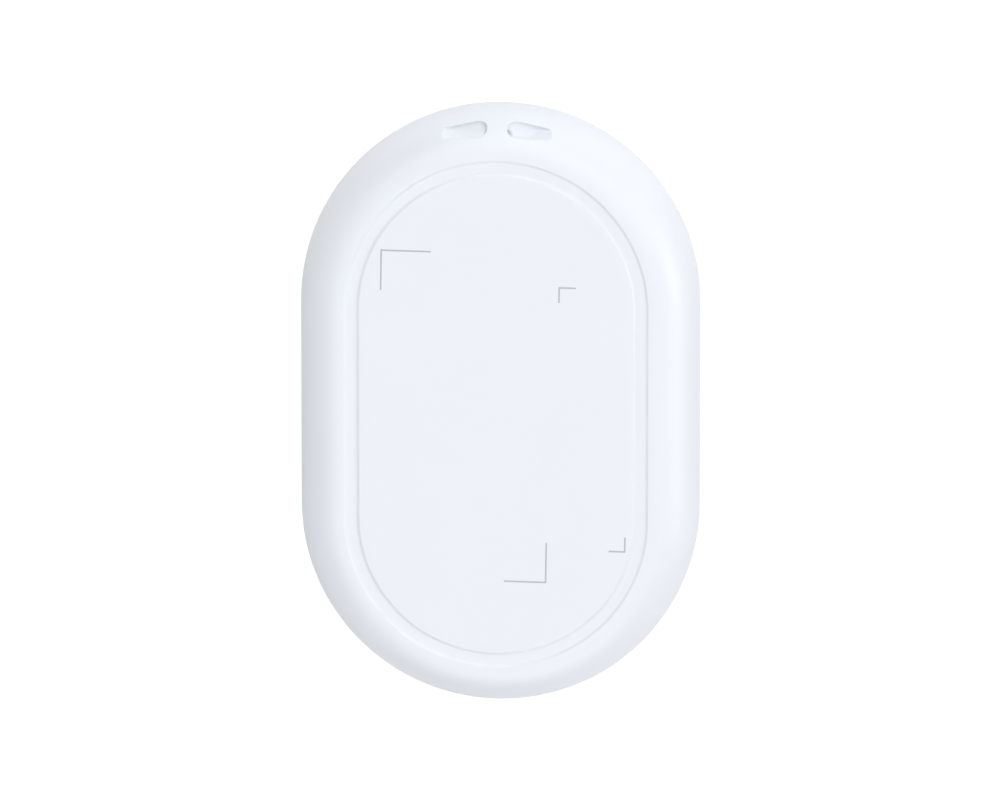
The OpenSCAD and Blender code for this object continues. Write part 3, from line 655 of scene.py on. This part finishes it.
def grained(name, light, dark, size, rough, metallic=0.0, relief=0.0, stretch=(1, 1, 1)):
    """A material whose colour, roughness and relief follow one noise with grains of a size in mm.
    A stretch below 1 draws the grains out along that axis. Its shader and place follow it."""
    material, shader = new_material(name)
    place = add_node(material, "ShaderNodeTexCoord").outputs["Object"]
    drawn = add_node(material, "ShaderNodeMapping", {"Vector": place, "Scale": stretch}).outputs["Vector"]
    grain = add_node(material, "ShaderNodeTexNoise", {"Vector": drawn, "Scale": 1000 / size, "Detail": 4.0})
    tone = add_node(material, "ShaderNodeMix", {
        "Factor": grain.outputs["Fac"], "A": linear(light), "B": linear(dark)}, data_type="RGBA")
    link(material, tone.outputs["Result"], shader.inputs["Base Color"])
    spread = add_node(material, "ShaderNodeMapRange", {
        "Value": grain.outputs["Fac"], "To Min": rough - 0.06, "To Max": rough + 0.06})
    link(material, spread.outputs["Result"], shader.inputs["Roughness"])
    shader.inputs["Metallic"].default_value = metallic
    if relief:
        bump = add_node(material, "ShaderNodeBump", {
            "Height": grain.outputs["Fac"], "Strength": 0.5, "Distance": relief / 1000})
        link(material, bump.outputs["Normal"], shader.inputs["Normal"])
    return material, shader, place


def colour_so_far(shader):
    """The output that feeds the shader's colour, so that a further pattern can be laid over it."""
    return shader.inputs["Base Color"].links[0].from_socket


def silicone():
    """Grey silicone rubber: a soft, slightly cloudy grey that shines a little less where it is matt."""
    material, shader, place = grained("moulded_grey_silicone", "#BDBEC2", "#B2B3B8", 0.8, 0.5, relief=0.01)
    shader.inputs["IOR"].default_value = 1.41
    return material


def cell_foam():
    """Closed-cell foam: dark grey, with a skin dimpled by cells of about 0.15 mm and no shine."""
    material, shader, place = grained("closed_cell_foam", "#3C3D40", "#2C2D30", 0.4, 0.85)
    cells = add_node(material, "ShaderNodeTexVoronoi", {"Vector": place, "Scale": 1 / 0.00015})
    bump = add_node(material, "ShaderNodeBump", {
        "Height": cells.outputs["Distance"], "Strength": 0.6, "Distance": 0.00003})
    link(material, bump.outputs["Normal"], shader.inputs["Normal"])
    return material


give_finish(silicone(), "face_gasket", "case_seal", "door_seal")
give_finish(cell_foam(), "battery_pad")


# ---------------------------------------------------------------- coin cell
# A lithium coin cell: a pressed can and cap of nickel-plated stainless steel, crimped on a
# black nylon ring. Handling and stamping leave fine straight lines and a few dull patches.

def rolled_metal(name, light, dark, rough, line=0.05):
    """Rolled sheet metal: lines of a width in mm along the rolling way, bright and a little uneven."""
    material, shader, place = grained(name, light, dark, line, rough, metallic=1.0, relief=0.0015,
                                      stretch=(1, 0.02, 1))
    dull = add_node(material, "ShaderNodeTexNoise", {"Vector": place, "Scale": 1 / 0.003, "Detail": 3.0})
    patch = add_node(material, "ShaderNodeMapRange", {
        "Value": dull.outputs["Fac"], "From Min": 0.5, "From Max": 0.8, "To Max": 0.35})
    marked = add_node(material, "ShaderNodeMix", {
        "Factor": patch.outputs["Result"], "A": colour_so_far(shader), "B": linear(dark)}, data_type="RGBA")
    link(material, marked.outputs["Result"], shader.inputs["Base Color"])
    return material


cell_steel = rolled_metal("nickel_plated_cell_steel", "#D6D6D4", "#B4B3AF", 0.28)
give_finish(cell_steel, "coin_cell_can", "coin_cell_cap")


def black_nylon(name, rough):
    """Moulded black nylon with glass fibre: near black, matt, with faint paler streaks of fibre."""
    material, shader, place = grained(
        name, "#1B1B1D", "#26262A", 0.3, rough, relief=0.006, stretch=(1, 0.3, 1))
    shader.inputs["IOR"].default_value = 1.53
    return material


give_finish(black_nylon("black_nylon_cell_ring", 0.45), "coin_cell_gasket")


# ---------------------------------------------------------------- contacts
# Springs stamped from thin phosphor bronze with a flash of gold. The sprung leg and the crossed
# leaves touch the cell, the small pair touches the sounder, and the bare pads are for testing.

give_finish(rolled_metal("gold_flashed_bronze", "#E3BE6A", "#C79B4B", 0.3), "positive_contact",
            "negative_contact", "piezo_contacts", "test_pads", "switch_terminals")


# ---------------------------------------------------------------- circuit board
# Glass epoxy under green solder mask, held to the upper shell by four zinc-plated screws that go in
# from the rear side. The mask lies a little higher and paler over the copper tracks.

def board_laminate():
    """Green solder mask over copper tracks, and cut edges that show the bare tan laminate."""
    material, shader, place = grained("green_solder_mask_laminate", "#0F5138", "#0B4530", 2.0, 0.35)
    tracks = add_node(material, "ShaderNodeTexBrick", {
        "Vector": place, "Scale": 1 / 0.0024, "Mortar Size": 0.06, "Brick Width": 0.9, "Row Height": 0.32,
        "Color1": linear("#000000"), "Color2": linear("#000000"), "Mortar": linear("#FFFFFF")})
    over = add_node(material, "ShaderNodeSeparateColor", {"Color": tracks.outputs["Color"]}).outputs["Red"]
    green = add_node(material, "ShaderNodeMix", {
        "Factor": over, "A": colour_so_far(shader), "B": linear("#1E7350")}, data_type="RGBA")
    way = add_node(material, "ShaderNodeSeparateXYZ", {
        "Vector": add_node(material, "ShaderNodeTexCoord").outputs["Normal"]}).outputs["Z"]
    flat = add_node(material, "ShaderNodeMath", {0: way}, operation="ABSOLUTE")
    cut = add_node(material, "ShaderNodeMath", {0: flat.outputs[0], 1: 0.5}, operation="LESS_THAN")
    board = add_node(material, "ShaderNodeMix", {
        "Factor": cut.outputs[0], "A": green.outputs["Result"], "B": linear("#A89A6B")}, data_type="RGBA")
    link(material, board.outputs["Result"], shader.inputs["Base Color"])
    bump = add_node(material, "ShaderNodeBump", {"Height": over, "Strength": 0.5, "Distance": 0.00003})
    link(material, bump.outputs["Normal"], shader.inputs["Normal"])
    return material


give_finish(board_laminate(), "circuit_board")
screw_steel, shader, place = grained(
    "zinc_plated_screw_steel", "#C9CBCC", "#A3A6A9", 0.25, 0.35, metallic=1.0, relief=0.003)
give_finish(screw_steel, "board_screws")


# ---------------------------------------------------------------- inner frame
# One black nylon moulding, filled with glass fibre. It stands on the board, carries the silicone
# ring and seats the sounder.

give_finish(black_nylon("glass_filled_black_nylon", 0.6), "inner_frame")


# ---------------------------------------------------------------- board parts
# Chips in moulded epoxy, ceramic parts and a ferrite coil, soldered to the board's front by tin
# or silver ends. One material gives a part its body and its ends, told apart by place.

BOARD_TOP_Z = 5.8


def past_limit(material, place, axis, limit, middle=0.0):
    """1 where a point lies further than limit mm from middle along an axis, both ways, and 0 elsewhere."""
    along = add_node(material, "ShaderNodeSeparateXYZ", {"Vector": place}).outputs[axis]
    off = add_node(material, "ShaderNodeMath", {0: along, 1: middle / 1000}, operation="SUBTRACT")
    far = add_node(material, "ShaderNodeMath", {0: off.outputs[0]}, operation="ABSOLUTE")
    return add_node(material, "ShaderNodeMath", {0: far.outputs[0], 1: limit / 1000},
                    operation="GREATER_THAN").outputs[0]


def with_metal(name, body, metal, size, rough, axis, limit, middle=0.0, inside=False):
    """A fine-grained body with bright metal past a limit along an axis, or inside it."""
    material, shader, place = grained(name, *body, size, rough, relief=0.004)
    part = past_limit(material, place, axis, limit, middle)
    if inside:
        part = add_node(material, "ShaderNodeMath", {0: 1.0, 1: part}, operation="SUBTRACT").outputs[0]
    ends = add_node(material, "ShaderNodeMix", {
        "Factor": part, "A": colour_so_far(shader), "B": linear(metal)}, data_type="RGBA")
    link(material, ends.outputs["Result"], shader.inputs["Base Color"])
    link(material, part, shader.inputs["Metallic"])
    return material


EPOXY = ("#222225", "#2B2B2F")
TIN = "#C3C4C2"
CERAMIC = ("#E6E1D3", "#DBD5C4")
# Epoxy chips: fine sanded black, with tinned leads near the board
give_finish(
    with_metal("black_epoxy_radio_chip", EPOXY, TIN, 0.08, 0.6, "Z", 0.05, BOARD_TOP_Z, inside=True),
    "radio_chip")
give_finish(with_metal("black_epoxy_driver_chip", EPOXY, TIN, 0.08, 0.6, "Y", 0.76, 0.6), "sounder_driver")
give_finish(grained("black_epoxy_motion_chip", *EPOXY, 0.08, 0.55, relief=0.004)[0], "motion_sensor")
# Quartz crystals: an off-white ceramic tray under a plated metal lid
give_finish(
    with_metal("ceramic_tray_metal_lid", CERAMIC, "#CDC9BE", 0.1, 0.45, "Z", 0.352, BOARD_TOP_Z), "crystals")
# Chip aerial: a white ceramic block with silver ends
give_finish(with_metal("silver_ended_ceramic_aerial", CERAMIC, "#D2D2CE", 0.1, 0.4, "X", 2.6), "chip_antenna")
# Coil: grey ferrite, pressed and tumbled, with tinned ends
give_finish(with_metal("ferrite_coil_tinned_ends", ("#4A4A4D", "#3B3B3F"), TIN, 0.15, 0.7, "X", 1.5, 5.6),
            "power_inductor")


def capacitor_ceramic():
    """Fired barium titanate: fine-grained tan chips, each a little paler or browner than the next."""
    material, shader, place = grained("tan_titanate_ceramic", "#A98962", "#8E6F4C", 0.12, 0.45, relief=0.003)
    each = add_node(material, "ShaderNodeTexVoronoi", {"Vector": place, "Scale": 1 / 0.0018})
    pick = add_node(material, "ShaderNodeSeparateColor", {"Color": each.outputs["Color"]})
    share = add_node(material, "ShaderNodeMath", {0: pick.outputs["Red"], 1: 0.4}, operation="MULTIPLY")
    chip = add_node(material, "ShaderNodeMix", {
        "Factor": share.outputs[0], "A": colour_so_far(shader), "B": linear("#C9C4B8")}, data_type="RGBA")
    link(material, chip.outputs["Result"], shader.inputs["Base Color"])
    return material


give_finish(capacitor_ceramic(), "chip_capacitors")


# ---------------------------------------------------------------- switch
# A surface-mounted push switch: a black nylon body and plunger, a stainless cover, and a snap
# dome of spring steel inside that gives the click.

give_finish(black_nylon("black_nylon_switch", 0.5), "switch_base", "switch_plunger")
give_finish(rolled_metal("stainless_switch_sheet", "#CFCFCD", "#ACABA8", 0.3, 0.04),
            "switch_cover", "switch_dome")


# ---------------------------------------------------------------- sounder
# A piezo disc: rolled brass with a fired ceramic layer and a silvered face, stuck down on a ring
# of double-sided film.

give_finish(rolled_metal("rolled_brass_plate", "#D8B35C", "#B8923F", 0.32, 0.06), "piezo_plate")
give_finish(grained("fired_piezo_ceramic", "#D9D4C6", "#C9C3B2", 0.15, 0.5, relief=0.003)[0], "piezo_ceramic")
give_finish(grained("pale_adhesive_film", "#DCCF9E", "#CDBF8B", 0.5, 0.4, relief=0.004)[0], "piezo_adhesive")


# ---------------------------------------------------------------- camera
# A long lens that looks down on the front from a little beyond the strap end, with +Y up.

CAMERA_WAY = Vector((0.07, 0.213, 0.974)).normalized()
CAMERA_DISTANCE = 1.0
FRAME_W = 0.0777
TARGET = Vector((-0.00006, 0.00007, 0.0046))

lens = bpy.data.cameras.new("camera")
lens.sensor_width = 36.0
lens.lens = lens.sensor_width * CAMERA_DISTANCE / FRAME_W
lens.clip_start = 0.05
lens.clip_end = 20.0
camera = bpy.data.objects.new("camera", lens)
bpy.context.scene.collection.objects.link(camera)
right = Vector((0, 1, 0)).cross(CAMERA_WAY).normalized()
up = CAMERA_WAY.cross(right)
camera.matrix_world = (Matrix.Translation(TARGET + CAMERA_WAY * CAMERA_DISTANCE)
                       @ Matrix((right, up, CAMERA_WAY)).transposed().to_4x4())
bpy.context.scene.camera = camera


# ---------------------------------------------------------------- stage
# A white light table in a tent of soft panels. The table is lit so brightly that it shows as even
# white with hardly a shadow, and it gives the tag no more light than white acrylic would.

TABLE_GLOW = 1.1
TABLE_GLOW_SHARE = 0.9
PANEL_DISTANCE = 1.2
PANEL_SIZE = 0.7
# Each panel: azimuth from +X, height above the table in degrees, and power in watts
PANELS = ((90, 45, 4.2), (270, 45, 6.4), (0, 15, 5.3), (90, 15, 3.4), (0, 90, 3.0), (45, 45, 1.9),
          (135, 45, 2.0), (225, 15, 1.6))

bm = bmesh.new()
bmesh.ops.create_grid(bm, x_segments=1, y_segments=1, size=2)
table = make_object(bm, "floor")
table_material, table_shader = new_material("white_light_table_acrylic")
table_shader.inputs["Base Color"].default_value = linear("#F5F5F5")
table_shader.inputs["Roughness"].default_value = 0.9
glow = add_node(table_material, "ShaderNodeEmission", {"Strength": TABLE_GLOW})
seen = add_node(table_material, "ShaderNodeLightPath").outputs["Is Camera Ray"]
share = add_node(table_material, "ShaderNodeMath", {0: seen, 1: TABLE_GLOW_SHARE}, operation="MULTIPLY")
lit = add_node(table_material, "ShaderNodeMixShader", {
    0: share.outputs[0], 1: table_shader.outputs["BSDF"], 2: glow.outputs["Emission"]})
table_output = table_material.node_tree.nodes["Material Output"]
link(table_material, lit.outputs["Shader"], table_output.inputs["Surface"])
table.data.materials.append(table_material)

for azimuth, height, power in PANELS:
    lamp = bpy.data.lights.new("soft_panel", "AREA")
    lamp.size = PANEL_SIZE
    lamp.energy = power
    panel = bpy.data.objects.new("soft_panel", lamp)
    bpy.context.scene.collection.objects.link(panel)
    turn = Matrix.Rotation(radians(azimuth), 4, "Z") @ Matrix.Rotation(radians(90 - height), 4, "Y")
    panel.matrix_world = turn @ Matrix.Translation((0, 0, PANEL_DISTANCE))

world = bpy.data.worlds.new("dark_studio")
world.use_nodes = True
world.node_tree.nodes["Background"].inputs["Color"].default_value = (0, 0, 0, 1)
bpy.context.scene.world = world
bpy.context.scene.view_settings.view_transform = "Standard"
bpy.context.scene.view_settings.look = "None"
